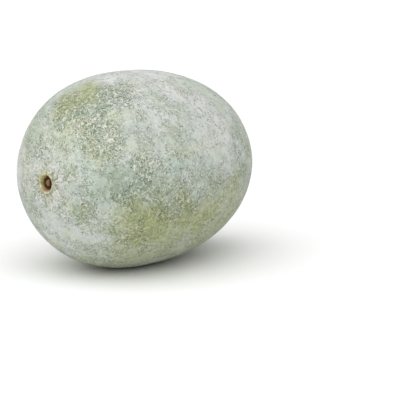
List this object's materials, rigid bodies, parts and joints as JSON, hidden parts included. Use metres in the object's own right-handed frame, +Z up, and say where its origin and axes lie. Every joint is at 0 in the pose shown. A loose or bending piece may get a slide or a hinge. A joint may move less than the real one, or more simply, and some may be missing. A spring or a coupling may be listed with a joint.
{
  "type": "ash gourd",
  "caption": "Whole ash gourd lying on its side: a blunt, egg-shaped fruit with a pale waxy grey-green rind, a corky stem scar and a small flat resting spot.",
  "frame": {"origin": "on the ground under the middle of the fruit's bounding box", "axes": "+X along the fruit's long axis from the stem end towards the blossom end, +Z up from the flat spot it rests on"},
  "size_m": [0.2784, 0.202, 0.2007],
  "materials": {
    "rind": "matte grey-green rind under an uneven chalky wax bloom, with yellow-green patches, and cream and brown cork in the stem scar"
  },
  "bodies": {
    "root": {"ash_gourd": "rind"}
  },
  "joints": []
}
